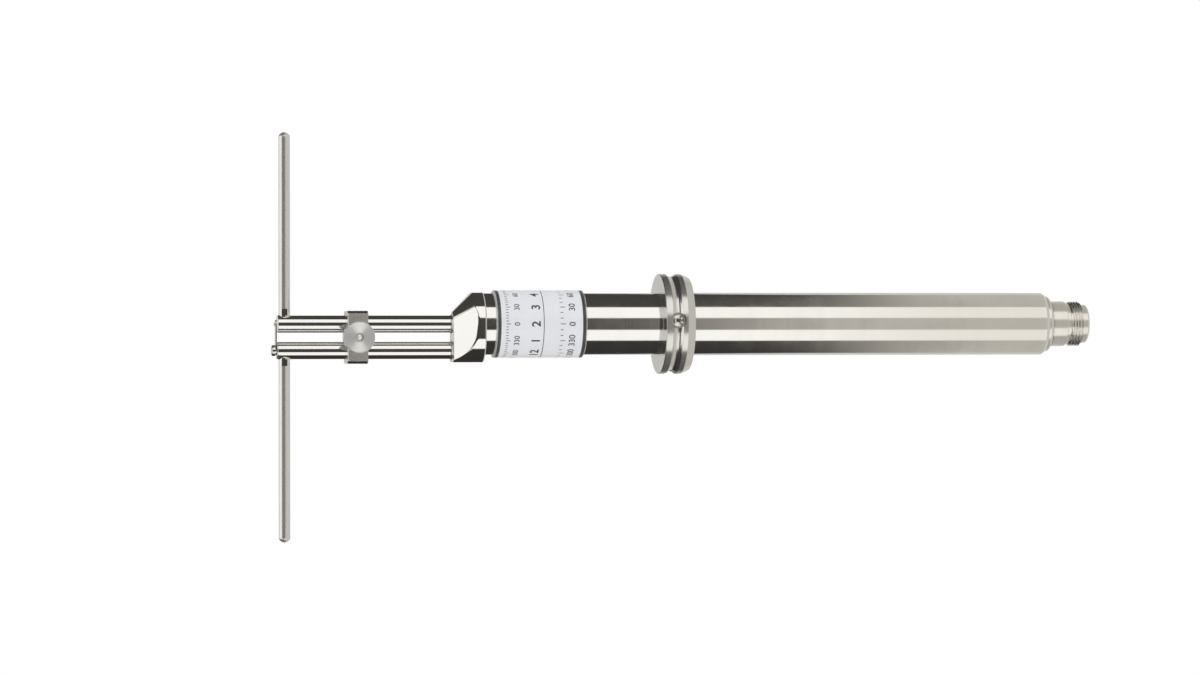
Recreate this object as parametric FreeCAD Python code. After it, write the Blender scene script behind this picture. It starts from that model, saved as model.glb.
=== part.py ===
import FreeCAD, Part
import math
import os

os.makedirs("parts", exist_ok=True)

# Dipole antenna on a coaxial boom. Millimetres, +Z up along the upper element.
# The boom's axis is the X axis, and X = 0 is the shoulder where its rear spigot starts,
# just behind the index ring.
Vector = FreeCAD.Vector
along_x = Vector(1, 0, 0)
along_y = Vector(0, 1, 0)
along_z = Vector(0, 0, 1)

# Clearances on the radius
soldered_gap = 0.03
sliding_gap = 0.08
thread_gap = 0.04
free_hole_gap = 0.15
seat_gap = 0.05

# Boom tube
boom_diameter = 22.0
boom_wall = 1.5
boom_front_reach = 73.2
boom_rear_reach = 129.3
boom_spigot_step = 0.16
boom_chamfer_length = 1.1
boom_chamfer_depth = 0.75

# Index ring, with its set screws in the groove
ring_wall = 6.76
ring_width = 10.5
ring_shoulder_gap = 0.1
ring_front_band = 2.3
ring_groove_width = 3.7
ring_groove_depth = 0.9
ring_rim_width = 1.7
ring_taper_depth = 1.25
ring_edge_chamfer = 0.25
ring_screw_count = 4
ring_screw_turn = -4.0
ring_screw_diameter = 4.0
ring_screw_length = 5.0
ring_screw_key = 2.0
ring_screw_key_depth = 2.2
ring_screw_spot_diameter = 5.6
ring_screw_spot_depth = 0.3

# Label: carrier, foil and clear cover
label_neck = 3.0
label_length = 31.2
label_carrier_wall = 0.76
label_foil_thickness = 0.1
label_cover_thickness = 0.25
label_cover_overhang = 0.9
label_film_gap = 0.02

# Balun tubes in front of the boom
balun_tube_diameter = 6.0
balun_spacing = 9.2
balun_reach = 61.1
stub_seat_depth = 8.8

# Transition head
head_length = 10.8
head_shoulder = 0.4
head_wall_below = 1.2
head_flat_height = 3.4
head_sole_half_width = 3.1
head_nose_wall = 1.2
head_cone_length = 7.0
head_facet_slope = 1.1
head_facet_lean = 0.11
head_facet_wall = 1.17
head_edge_chamfer = 0.35
head_spigot_length = 10.0
solder_fillet = 0.7

# Elements, with their threaded studs
element_diameter = 4.0
element_half_span = 71.3
element_setback = 2.4
element_dome_height = 1.4
element_seat_depth = 0.25
element_flat_width = 3.5
element_flat_length = 2.3
element_stud_diameter = 2.5
element_stud_tip_gap = 0.15

# Front end of the balun: bush, bead, plug, strap and screw
front_bush_end_wall = 1.6
front_bush_wall = 0.54
front_flange_thickness = 0.3
front_flange_inset = 0.1
strap_width = 3.0
strap_thickness = 0.5
pin_stand_out = 0.5
strap_screw_diameter = 2.0
strap_screw_length = 3.5
strap_screw_head_diameter = 3.8
strap_screw_head_height = 1.3
strap_screw_slot_width = 0.5
strap_screw_slot_depth = 0.6

# Tuning slide
slide_setback = 27.5
slide_width = 7.2
slide_end_wall = 1.6
slide_cheek = 2.8
slide_split = 0.25
slide_edge_chamfer = 0.95
clamp_screw_diameter = 2.5
knob_diameter = 11.0
knob_thickness = 3.8
knob_edge_chamfer = 0.25
knob_rivet_diameter = 1.8
knob_rivet_stand_out = 0.12

# Rear end: bush and coaxial jack
bush_flange_step = 0.3
bush_flange_length = 1.3
bush_nose_length = 1.0
bush_spigot_length = 10.0
jack_collar_diameter = 16.0
jack_collar_length = 5.3
jack_relief_diameter = 14.5
jack_relief_length = 1.2
jack_thread_diameter = 15.88
jack_thread_length = 4.5
jack_nose_diameter = 13.6
jack_nose_length = 2.4
jack_nose_round = 0.7
jack_shank_diameter = 12.0
jack_shank_length = 14.8
jack_socket_diameter = 8.4
jack_socket_depth = 14.0
jack_insulator_length = 4.0
jack_rear_bore = 6.8
jack_ferrule_clearance = 3.2
contact_diameter = 3.04
contact_bore = 1.65
contact_bore_depth = 5.0
contact_recess = 5.0
contact_tail = 2.5
contact_cup_depth = 3.0
contact_slot_width = 0.3
contact_slot_length = 4.0

# Coaxial line inside the boom
line_conductor_diameter = 0.92
line_dielectric_diameter = 2.98
line_jacket_diameter = 3.58
spacer_thickness = 4.0
spacer_count = 3

# Radii and widths worked out from the sizes above
boom_bore = boom_diameter - 2 * boom_wall
boom_front_diameter = boom_diameter - 2 * boom_spigot_step
ring_diameter = boom_front_diameter + 2 * ring_wall
balun_tube_bore = line_jacket_diameter + 2 * soldered_gap
head_radius = boom_diameter / 2 + head_shoulder
head_top = boom_diameter / 2
head_bottom = -(balun_spacing + balun_tube_diameter / 2 + head_wall_below)
head_nose_radius = balun_tube_diameter / 2 + head_nose_wall
head_facet_half_width = balun_tube_diameter / 2 + head_facet_wall
front_bush_diameter = balun_tube_bore - 2 * soldered_gap
front_flange_diameter = balun_tube_diameter - 2 * front_flange_inset
bead_diameter = front_bush_diameter - 2 * front_bush_wall - 2 * seat_gap
slide_height = balun_spacing + balun_tube_diameter + 2 * slide_end_wall
slide_reach = balun_tube_diameter / 2 + slide_cheek
bush_flange_diameter = boom_bore + 2 * bush_flange_step
tube_seat = balun_tube_diameter / 2 - element_seat_depth
stud_tip = max(bead_diameter, strap_screw_diameter) / 2 + element_stud_tip_gap

# Stations along the boom, worked out from the sizes above
boom_front = -boom_front_reach
head_front = boom_front - head_length
tube_front = head_front - balun_reach
strap_rear = tube_front - front_flange_thickness
strap_front = strap_rear - strap_thickness
element_x = tube_front + element_setback
stub_z = -balun_spacing
middle_z = stub_z / 2
slide_x = tube_front + slide_setback
knob_rear = -(slide_reach + seat_gap)
ring_rear = -ring_shoulder_gap
ring_front = ring_rear - ring_width
spigot_end = boom_front + head_spigot_length
cable_front = element_x + element_diameter / 2 + front_bush_end_wall
nose_start = boom_rear_reach + bush_flange_length
jack_rear = nose_start + bush_nose_length
relief_start = jack_rear + jack_collar_length
thread_start = relief_start + jack_relief_length
thread_end = thread_start + jack_thread_length
jack_front = thread_end + jack_nose_length
shank_rear = jack_rear - jack_shank_length
socket_floor = jack_front - jack_socket_depth
insulator_front = socket_floor + jack_insulator_length
contact_front = jack_front - contact_recess
contact_rear = socket_floor - contact_tail
ferrule_front = contact_rear - jack_ferrule_clearance


def rod_x(start, end, diameter, z=0.0):
    """A round bar along X between two stations."""
    return Part.makeCylinder(diameter / 2, end - start, Vector(start, 0, z), along_x)


def tube_x(start, end, outer, inner, z=0.0):
    """A round tube along X between two stations."""
    return rod_x(start, end, outer, z).cut(rod_x(start, end, inner, z))


def rod_y(start, end, diameter, x, z):
    """A round bar along Y between two stations."""
    return Part.makeCylinder(diameter / 2, end - start, Vector(x, start, z), along_y)


def rod_z(start, end, diameter, x=0.0, z_sign=1):
    """A round bar along Z, or down along it, between two distances from the X axis."""
    return Part.makeCylinder(diameter / 2, end - start, Vector(x, 0, z_sign * start), along_z * z_sign)


def block(low, high):
    """A box between two corners."""
    size = high - low
    return Part.makeBox(size.x, size.y, size.z, low)


def turned(edges):
    """A solid turned about the X axis from edges drawn in the XZ plane."""
    face = Part.Face(Part.Wire(edges))
    return face.revolve(Vector(0, 0, 0), along_x, 360)


def profile(points):
    """Straight edges through (station, radius) points, closed back to the first."""
    corners = [Vector(x, 0, radius) for x, radius in points]
    return [Part.makeLine(a, b) for a, b in zip(corners, corners[1:] + corners[:1])]


def hexagon_bar(width_across_flats, length):
    """A hexagonal bar that stands up along Z from the origin."""
    radius = width_across_flats / math.sqrt(3)
    corners = [Vector(radius * math.cos(math.radians(60 * i)), radius * math.sin(math.radians(60 * i)), 0)
               for i in range(6)]
    face = Part.Face(Part.makePolygon(corners + corners[:1]))
    return face.extrude(Vector(0, 0, length))


def make_boom_tube():
    """Long round tube: a front part, and a larger spigot chamfered at its rear end."""
    outer = boom_diameter / 2
    bore = boom_bore / 2
    return turned(profile([
        (boom_front, bore),
        (boom_front, boom_front_diameter / 2),
        (0, boom_front_diameter / 2),
        (0, outer),
        (boom_rear_reach - boom_chamfer_length, outer),
        (boom_rear_reach, outer - boom_chamfer_depth),
        (boom_rear_reach, bore),
    ]))


def make_index_ring():
    """Clamp ring with a rounded groove, a rim and a taper towards the rear."""
    outer = ring_diameter / 2
    bore = boom_front_diameter / 2 + seat_gap
    groove_start = ring_front + ring_front_band
    groove_end = groove_start + ring_groove_width
    rim_end = groove_end + ring_rim_width
    corners = [Vector(x, 0, radius) for x, radius in [
        (groove_end, outer),
        (rim_end, outer),
        (ring_rear, outer - ring_taper_depth),
        (ring_rear, bore),
        (ring_front, bore),
        (ring_front, outer - ring_edge_chamfer),
        (ring_front + ring_edge_chamfer, outer),
        (groove_start, outer),
    ]]
    edges = [Part.makeLine(a, b) for a, b in zip(corners, corners[1:])]
    groove_floor = Vector((groove_start + groove_end) / 2, 0, outer - ring_groove_depth)
    edges.append(Part.Arc(corners[-1], groove_floor, corners[0]).toShape())
    ring = turned(edges)
    for angle in ring_screw_angles():
        hole = rod_z(0, outer, ring_screw_diameter + 2 * thread_gap)
        spot = rod_z(outer - ring_groove_depth - ring_screw_spot_depth, outer, ring_screw_spot_diameter)
        ring = ring.cut(placed_in_ring(hole.fuse(spot), angle))
    return ring


def ring_screw_angles():
    """Turns of the set screws about the boom's axis."""
    return [ring_screw_turn + 360 / ring_screw_count * i for i in range(ring_screw_count)]


def placed_in_ring(shape, angle):
    """Move a shape that stands on Z to the middle of the groove and turn it about X."""
    placed = shape.copy()
    placed.translate(Vector(ring_front + ring_front_band + ring_groove_width / 2, 0, 0))
    placed.rotate(Vector(0, 0, 0), along_x, angle)
    return placed


def make_index_ring_screws():
    """Flat-point set screws with a hexagonal socket."""
    foot = boom_front_diameter / 2 + seat_gap
    top = foot + ring_screw_length
    screw = rod_z(foot, top, ring_screw_diameter)
    socket = hexagon_bar(ring_screw_key, ring_screw_key_depth)
    socket.translate(Vector(0, 0, top - ring_screw_key_depth))
    screw = screw.cut(socket)
    return Part.makeCompound([placed_in_ring(screw, angle) for angle in ring_screw_angles()])


def label_radii():
    """Inner and outer radii of carrier, foil and cover, from the boom outwards."""
    carrier_inner = boom_front_diameter / 2 + label_film_gap
    carrier_outer = carrier_inner + label_carrier_wall
    foil_inner = carrier_outer + label_film_gap
    foil_outer = foil_inner + label_foil_thickness
    cover_inner = foil_outer + label_film_gap
    return carrier_inner, carrier_outer, foil_inner, foil_outer, cover_inner


def label_span():
    """Stations of the label's front and rear ends."""
    front = boom_front + label_neck + label_cover_overhang
    return front, front + label_length


def make_label_carrier():
    """Sleeve that carries the label foil on the boom."""
    front, rear = label_span()
    inner, outer = label_radii()[:2]
    return tube_x(front, rear, 2 * outer, 2 * inner)


def make_label_foil():
    """Thin foil wrapped round its carrier."""
    front, rear = label_span()
    inner, outer = label_radii()[2:4]
    return tube_x(front, rear, 2 * outer, 2 * inner)


def make_clear_cover():
    """Clear film shrunk over the label and down to the boom at both ends."""
    front, rear = label_span()
    boom_side = label_radii()[0]
    inner = label_radii()[4]
    outer = inner + label_cover_thickness
    front_step = front - label_film_gap
    rear_step = rear + label_film_gap
    return turned(profile([
        (front - label_cover_overhang, boom_side),
        (front - label_cover_overhang, boom_side + label_cover_thickness),
        (front_step, outer),
        (rear_step, outer),
        (rear + label_cover_overhang, boom_side + label_cover_thickness),
        (rear + label_cover_overhang, boom_side),
        (rear_step, boom_side),
        (rear_step, inner),
        (front_step, inner),
        (front_step, boom_side),
    ]))


def head_blank():
    """Upright block with a round top, flat sides and an oval foot, cut flat above and below."""
    width = head_radius
    flat_foot = -head_flat_height
    top = rod_x(head_front, boom_front, 2 * width)
    top = top.common(block(Vector(head_front, -width, 0), Vector(boom_front, width, head_top)))
    middle = block(Vector(head_front, -width, flat_foot), Vector(boom_front, width, 0))
    oval_reach = (flat_foot - head_bottom) / math.sqrt(1 - (head_sole_half_width / width) ** 2)
    oval_axes = sorted([(width, along_y), (oval_reach, along_z)], key=lambda axis: axis[0])
    centre = Vector(head_front, 0, flat_foot)
    oval = Part.Ellipse(
        centre + oval_axes[1][1] * oval_axes[1][0],
        centre + oval_axes[0][1] * oval_axes[0][0],
        centre,
    )
    foot = Part.Face(Part.Wire(oval.toShape())).extrude(Vector(head_length, 0, 0))
    foot = foot.common(block(Vector(head_front, -width, head_bottom), Vector(boom_front, width, flat_foot)))
    return top.fuse([middle, foot]).removeSplitter()


def facet_cutter(side):
    """Wedge that takes off one front corner of the head, on the side of Y given."""
    reach = 4 * head_radius
    slide_back = Vector(head_facet_slope, side, 0)
    lean = Vector(head_facet_lean, 0, 1)
    start = Vector(head_front, side * head_facet_half_width, 0)
    corners = [
        start - slide_back * reach - lean * reach,
        start + slide_back * reach - lean * reach,
        start + slide_back * reach + lean * reach,
        start - slide_back * reach + lean * reach,
    ]
    face = Part.Face(Part.makePolygon(corners + corners[:1]))
    return face.extrude(Vector(-reach, side * reach * head_facet_slope, 0))


def make_transition_head():
    """Block that closes the boom's front end and holds the two balun tubes."""
    body = head_blank()
    rear_edges = [e for e in body.Edges if all(abs(v.X - boom_front) < 1e-6 for v in e.Vertexes)]
    body = body.makeChamfer(head_edge_chamfer, rear_edges)
    reach = 4 * head_radius
    upper = body.common(block(Vector(head_front, -reach, 0), Vector(boom_front, reach, reach)))
    lower = body.common(block(Vector(head_front, -reach, -reach), Vector(boom_front, reach, 0)))
    cone_end = head_front + head_cone_length
    cone = turned(profile([
        (head_front, 0),
        (head_front, head_nose_radius),
        (cone_end, head_radius),
        (boom_front, head_radius),
        (boom_front, 0),
    ]))
    head = upper.common(cone).fuse(lower)
    head = head.cut(facet_cutter(1)).cut(facet_cutter(-1))
    head = head.fuse(rod_x(boom_front, spigot_end, boom_bore - 2 * soldered_gap)).removeSplitter()
    tube_hole = balun_tube_diameter + 2 * soldered_gap
    head = head.cut(rod_x(head_front, spigot_end, tube_hole))
    return head.cut(rod_x(head_front, head_front + stub_seat_depth, tube_hole, stub_z))


def balun_tube(end, z, z_sign):
    """Balun tube with a flat seat and a hole where its element screws in."""
    tube = tube_x(tube_front, end, balun_tube_diameter, balun_tube_bore, z)
    seat = rod_z(tube_seat, balun_tube_diameter, element_diameter + 2 * seat_gap, element_x, z_sign)
    hole = rod_z(0, balun_tube_diameter, element_stud_diameter + 2 * thread_gap, element_x, z_sign)
    cutter = seat.fuse(hole)
    cutter.translate(Vector(0, 0, z))
    return tube.cut(cutter)


def make_coax_tube():
    """Upper balun tube, which the coaxial line runs through."""
    return balun_tube(spigot_end, 0.0, 1)


def make_stub_tube():
    """Lower balun tube, closed by the head."""
    return balun_tube(head_front + stub_seat_depth - seat_gap, stub_z, -1)


def solder_ring(z):
    """Hollow fillet of solder round one tube at the head's front face."""
    inner = balun_tube_diameter / 2 + soldered_gap
    rear = head_front
    front = rear - solder_fillet
    top = inner + solder_fillet
    bow = solder_fillet * (1 - math.sqrt(0.5))
    corners = [Vector(rear, 0, top), Vector(rear, 0, inner), Vector(front, 0, inner)]
    hollow = Part.Arc(corners[2], Vector(rear - bow, 0, inner + bow), corners[0])
    ring = turned([
        Part.makeLine(corners[0], corners[1]),
        Part.makeLine(corners[1], corners[2]),
        hollow.toShape(),
    ])
    ring.translate(Vector(0, 0, z))
    return ring


def make_solder_fillets():
    """The two solder fillets at the transition head, trimmed to its front face."""
    flat = [f for f in make_transition_head().Faces if abs(f.CenterOfMass.x - head_front) < 1e-6]
    room = flat[0].extrude(Vector(-solder_fillet, 0, 0))
    return Part.makeCompound([solder_ring(z).common(room) for z in (0.0, stub_z)])


def stud_hole(z_sign):
    """Radial thread of a front bush or plug, at the element's station."""
    return rod_z(0, balun_tube_diameter, element_stud_diameter + 2 * thread_gap, element_x, z_sign)


def make_coax_tube_bush():
    """Ring in the upper tube's front end that takes the element's stud."""
    bush = tube_x(tube_front, cable_front, front_bush_diameter, bead_diameter + 2 * seat_gap)
    return bush.cut(stud_hole(1))


def make_bush_insulator():
    """Flanged bead that holds the line's conductor clear of the tube."""
    bead = rod_x(tube_front, cable_front, bead_diameter)
    bead = bead.fuse(rod_x(strap_rear, tube_front, front_flange_diameter))
    return bead.cut(rod_x(strap_rear, cable_front, line_conductor_diameter + 2 * seat_gap))


def make_stub_tube_plug():
    """Flanged plug in the lower tube's front end, threaded for element and strap screw."""
    plug = rod_x(tube_front, cable_front, front_bush_diameter)
    plug = plug.fuse(rod_x(strap_rear, tube_front, front_flange_diameter))
    plug = plug.cut(stud_hole(-1))
    screw_hole_end = strap_rear + strap_screw_length + seat_gap
    plug = plug.cut(rod_x(strap_rear, screw_hole_end, strap_screw_diameter + 2 * thread_gap))
    plug.translate(Vector(0, 0, stub_z))
    return plug


def make_feed_strap():
    """Flat link from the line's conductor down to the lower tube."""
    half = strap_width / 2
    top = Part.Arc(Vector(0, -half, 0), Vector(0, 0, half), Vector(0, half, 0)).toShape()
    foot = Part.Arc(Vector(0, half, stub_z), Vector(0, 0, stub_z - half), Vector(0, -half, stub_z)).toShape()
    sides = [
        Part.makeLine(Vector(0, half, 0), Vector(0, half, stub_z)),
        Part.makeLine(Vector(0, -half, stub_z), Vector(0, -half, 0)),
    ]
    strap = Part.Face(Part.Wire([top, sides[0], foot, sides[1]])).extrude(Vector(strap_thickness, 0, 0))
    strap.translate(Vector(strap_front, 0, 0))
    strap = strap.cut(rod_x(strap_front, strap_rear, line_conductor_diameter + 2 * soldered_gap))
    return strap.cut(rod_x(strap_front, strap_rear, strap_screw_diameter + 2 * free_hole_gap, stub_z))


def make_strap_screw():
    """Slotted cheese-head screw that clamps the strap to the lower tube."""
    head_end = strap_front - strap_screw_head_height
    head = rod_x(head_end, strap_front, strap_screw_head_diameter, stub_z)
    shank = rod_x(strap_front, strap_rear + strap_screw_length, strap_screw_diameter, stub_z)
    reach = strap_screw_head_diameter
    half_slot = strap_screw_slot_width / 2
    slot = block(
        Vector(head_end, -half_slot, stub_z - reach),
        Vector(head_end + strap_screw_slot_depth, half_slot, stub_z + reach),
    )
    return head.fuse(shank).cut(slot)


def element(z_sign, axis_z):
    """Dipole arm with a domed tip, wrench flats and a short stud."""
    radius = element_diameter / 2
    tip = element_half_span + z_sign * (middle_z - axis_z)
    shoulder = tip - element_dome_height
    outline = [
        Part.makeLine(Vector(0, 0, tube_seat), Vector(radius, 0, tube_seat)),
        Part.makeLine(Vector(radius, 0, tube_seat), Vector(radius, 0, shoulder)),
        dome_arc(radius, shoulder, tip),
        Part.makeLine(Vector(0, 0, tip), Vector(0, 0, tube_seat)),
    ]
    arm = Part.Face(Part.Wire(outline)).revolve(Vector(0, 0, 0), along_z, 360)
    arm = arm.fuse(rod_z(stud_tip, tube_seat, element_stud_diameter))
    flat_foot = balun_tube_diameter / 2
    for side in (1, -1):
        near = side * element_flat_width / 2
        far = side * element_diameter
        arm = arm.cut(block(
            Vector(-radius, min(near, far), flat_foot),
            Vector(radius, max(near, far), flat_foot + element_flat_length),
        ))
    if z_sign < 0:
        arm.rotate(Vector(0, 0, 0), along_x, 180)
    arm.translate(Vector(element_x, 0, axis_z))
    return arm


def dome_arc(radius, shoulder, tip):
    """Arc of the domed tip, from the arm's side to its axis."""
    height = tip - shoulder
    sphere = (radius ** 2 + height ** 2) / (2 * height)
    half_angle = math.asin(radius / sphere) / 2
    centre = tip - sphere
    middle = Vector(sphere * math.sin(half_angle), 0, centre + sphere * math.cos(half_angle))
    return Part.Arc(Vector(radius, 0, shoulder), middle, Vector(0, 0, tip)).toShape()


def slide_jaw(side):
    """Half of the tuning slide, on the side of Y given, with its two half bores."""
    inner = side * slide_split
    outer = side * slide_reach
    jaw = block(
        Vector(slide_x - slide_width / 2, min(inner, outer), middle_z - slide_height / 2),
        Vector(slide_x + slide_width / 2, max(inner, outer), middle_z + slide_height / 2),
    )
    outer_edges = [e for e in jaw.Edges
                   if all(abs(v.Y - outer) < 1e-6 for v in e.Vertexes)
                   and abs(e.Vertexes[0].Z - e.Vertexes[1].Z) < 1e-6]
    jaw = jaw.makeChamfer(slide_edge_chamfer, outer_edges)
    bore = balun_tube_diameter + 2 * sliding_gap
    for z in (0.0, stub_z):
        jaw = jaw.cut(rod_x(slide_x - slide_width, slide_x + slide_width, bore, z))
    return jaw


def make_slide_front_jaw():
    """Front half of the slide, with a free hole for the clamp screw."""
    hole = clamp_screw_diameter + 2 * free_hole_gap
    return slide_jaw(-1).cut(rod_y(-slide_reach, 0, hole, slide_x, middle_z))


def make_slide_rear_jaw():
    """Rear half of the slide, threaded for the clamp screw."""
    hole = clamp_screw_diameter + 2 * thread_gap
    return slide_jaw(1).cut(rod_y(0, slide_reach, hole, slide_x, middle_z))


def make_clamp_knob():
    """Turned thumb knob that tightens the slide."""
    front = knob_rear - knob_thickness
    knob = rod_y(front, knob_rear, knob_diameter, slide_x, middle_z)
    rims = [e for e in knob.Edges if len(e.Vertexes) == 1]
    knob = knob.makeChamfer(knob_edge_chamfer, rims)
    return knob.cut(rod_y(front, knob_rear, knob_rivet_diameter + 2 * soldered_gap, slide_x, middle_z))


def make_clamp_screw():
    """Screw riveted into the knob, through the front jaw into the rear one."""
    screw = rod_y(knob_rear, slide_reach, clamp_screw_diameter, slide_x, middle_z)
    rivet_end = knob_rear - knob_thickness - knob_rivet_stand_out
    return screw.fuse(rod_y(rivet_end, knob_rear, knob_rivet_diameter, slide_x, middle_z))


def make_rear_bush():
    """Bush that closes the boom's rear end and carries the jack."""
    bore = jack_shank_diameter / 2 + thread_gap
    return turned(profile([
        (boom_rear_reach - bush_spigot_length, bore),
        (boom_rear_reach - bush_spigot_length, boom_bore / 2 - soldered_gap),
        (boom_rear_reach, boom_bore / 2 - soldered_gap),
        (boom_rear_reach, bush_flange_diameter / 2),
        (nose_start, bush_flange_diameter / 2),
        (jack_rear, jack_collar_diameter / 2),
        (jack_rear, bore),
    ]))


def make_jack_body():
    """Coaxial jack: collar, relief, coupling thread and nose, with its socket."""
    thread = jack_thread_diameter / 2
    nose = jack_nose_diameter / 2
    socket = jack_socket_diameter / 2
    relief = jack_relief_diameter / 2
    collar = jack_collar_diameter / 2
    body = turned(profile([
        (shank_rear, jack_rear_bore / 2),
        (shank_rear, jack_shank_diameter / 2),
        (jack_rear, jack_shank_diameter / 2),
        (jack_rear, collar),
        (relief_start, collar),
        (relief_start, relief),
        (thread_start, relief),
        (thread_start, thread),
        (thread_end, thread),
        (thread_end, nose),
        (jack_front, nose),
        (jack_front, socket),
        (socket_floor, socket),
        (socket_floor, jack_rear_bore / 2),
    ]))
    rim = [e for e in body.Edges
           if len(e.Vertexes) == 1
           and abs(e.Vertexes[0].X - jack_front) < 1e-6
           and abs(e.BoundBox.ZLength - jack_nose_diameter) < 1e-3]
    return body.makeFillet(jack_nose_round, rim)


def make_jack_insulator():
    """Disc that holds the jack's centre contact."""
    outer = jack_socket_diameter - 2 * soldered_gap
    return tube_x(socket_floor, insulator_front, outer, contact_diameter + 2 * soldered_gap)


def make_jack_contact():
    """Slotted socket contact with a solder cup behind."""
    contact = rod_x(contact_rear, contact_front, contact_diameter)
    contact = contact.cut(rod_x(contact_front - contact_bore_depth, contact_front, contact_bore))
    cup = line_conductor_diameter + 2 * soldered_gap
    contact = contact.cut(rod_x(contact_rear, contact_rear + contact_cup_depth, cup))
    half = contact_slot_width / 2
    reach = contact_diameter
    slot_start = contact_front - contact_slot_length
    contact = contact.cut(block(Vector(slot_start, -half, -reach), Vector(contact_front, half, reach)))
    return contact.cut(block(Vector(slot_start, -reach, -half), Vector(contact_front, reach, half)))


def make_cable_ferrule():
    """Ring that joins the line's jacket to the jack."""
    outer = jack_rear_bore - 2 * soldered_gap
    return tube_x(shank_rear, ferrule_front, outer, line_jacket_diameter + 2 * soldered_gap)


def make_line_conductor():
    """Centre conductor, from the feed strap to the jack's contact."""
    end = contact_rear + contact_cup_depth - seat_gap
    return rod_x(strap_front - pin_stand_out, end, line_conductor_diameter)


def make_line_dielectric():
    """Dielectric of the coaxial line."""
    outer = line_dielectric_diameter - 2 * label_film_gap
    inner = line_conductor_diameter + 2 * label_film_gap
    return tube_x(cable_front + seat_gap, ferrule_front, outer, inner)


def make_line_jacket():
    """Solid metal jacket of the coaxial line."""
    return tube_x(cable_front + seat_gap, ferrule_front, line_jacket_diameter, line_dielectric_diameter)


def make_line_spacers():
    """Discs that hold the line in the middle of the boom."""
    outer = boom_bore - 2 * seat_gap
    inner = line_jacket_diameter + 2 * soldered_gap
    pitch = (shank_rear - spigot_end) / (spacer_count + 1)
    starts = [spigot_end + pitch * (i + 1) - spacer_thickness / 2 for i in range(spacer_count)]
    return Part.makeCompound([tube_x(start, start + spacer_thickness, outer, inner) for start in starts])


pieces = {
    "boom_tube": make_boom_tube,
    "transition_head": make_transition_head,
    "coax_tube": make_coax_tube,
    "stub_tube": make_stub_tube,
    "solder_fillets": make_solder_fillets,
    "coax_tube_bush": make_coax_tube_bush,
    "bush_insulator": make_bush_insulator,
    "stub_tube_plug": make_stub_tube_plug,
    "feed_strap": make_feed_strap,
    "strap_screw": make_strap_screw,
    "upper_element": lambda: element(1, 0.0),
    "lower_element": lambda: element(-1, stub_z),
    "slide_front_jaw": make_slide_front_jaw,
    "slide_rear_jaw": make_slide_rear_jaw,
    "clamp_knob": make_clamp_knob,
    "clamp_screw": make_clamp_screw,
    "label_carrier": make_label_carrier,
    "label_foil": make_label_foil,
    "clear_cover": make_clear_cover,
    "index_ring": make_index_ring,
    "index_ring_screws": make_index_ring_screws,
    "rear_bush": make_rear_bush,
    "jack_body": make_jack_body,
    "jack_insulator": make_jack_insulator,
    "jack_contact": make_jack_contact,
    "cable_ferrule": make_cable_ferrule,
    "line_conductor": make_line_conductor,
    "line_dielectric": make_line_dielectric,
    "line_jacket": make_line_jacket,
    "line_spacers": make_line_spacers,
}

for node, make in pieces.items():
    shape = make()
    shape.exportStep(f"parts/{node}.step")
    box = shape.BoundBox
    print(f"{node}: valid {shape.isValid()}, solids {len(shape.Solids)}, volume {shape.Volume:.1f}, "
          f"x {box.XMin:.2f} to {box.XMax:.2f}, z {box.ZMin:.2f} to {box.ZMax:.2f}")
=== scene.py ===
from math import acos, pi, radians, sin, tan

import bmesh
import bpy
import numpy as np
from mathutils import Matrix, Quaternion, Vector


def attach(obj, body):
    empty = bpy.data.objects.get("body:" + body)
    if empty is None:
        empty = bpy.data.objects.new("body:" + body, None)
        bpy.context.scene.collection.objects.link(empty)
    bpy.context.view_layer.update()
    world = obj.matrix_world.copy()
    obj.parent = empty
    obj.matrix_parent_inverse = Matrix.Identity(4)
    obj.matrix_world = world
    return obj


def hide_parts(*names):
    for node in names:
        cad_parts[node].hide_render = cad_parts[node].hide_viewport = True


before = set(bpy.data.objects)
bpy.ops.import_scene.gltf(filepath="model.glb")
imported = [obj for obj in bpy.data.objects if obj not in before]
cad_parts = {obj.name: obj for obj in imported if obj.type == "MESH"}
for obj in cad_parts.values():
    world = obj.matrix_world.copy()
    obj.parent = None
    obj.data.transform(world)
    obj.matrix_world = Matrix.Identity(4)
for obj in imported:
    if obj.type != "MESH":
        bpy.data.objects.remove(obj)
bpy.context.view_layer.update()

print("frame loaded")

# Sizes below are millimetres in the frame of the CAD model. Meshes are written in metres.
mm = 0.001
tau = 2 * pi
scene = bpy.context.scene
rodAxis = (-142.7, 0.0, 0.0)
stubAxis = (0.0, 0.0, -9.2)
knobAxis = (-117.6, 0.0, -4.6)


def unit(vector):
    return vector / np.linalg.norm(vector, axis=-1, keepdims=True)


# Points from their coordinates, each an array or a number
def asPoints(*coordinates):
    return np.stack(np.broadcast_arrays(*coordinates), axis=-1)


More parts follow.
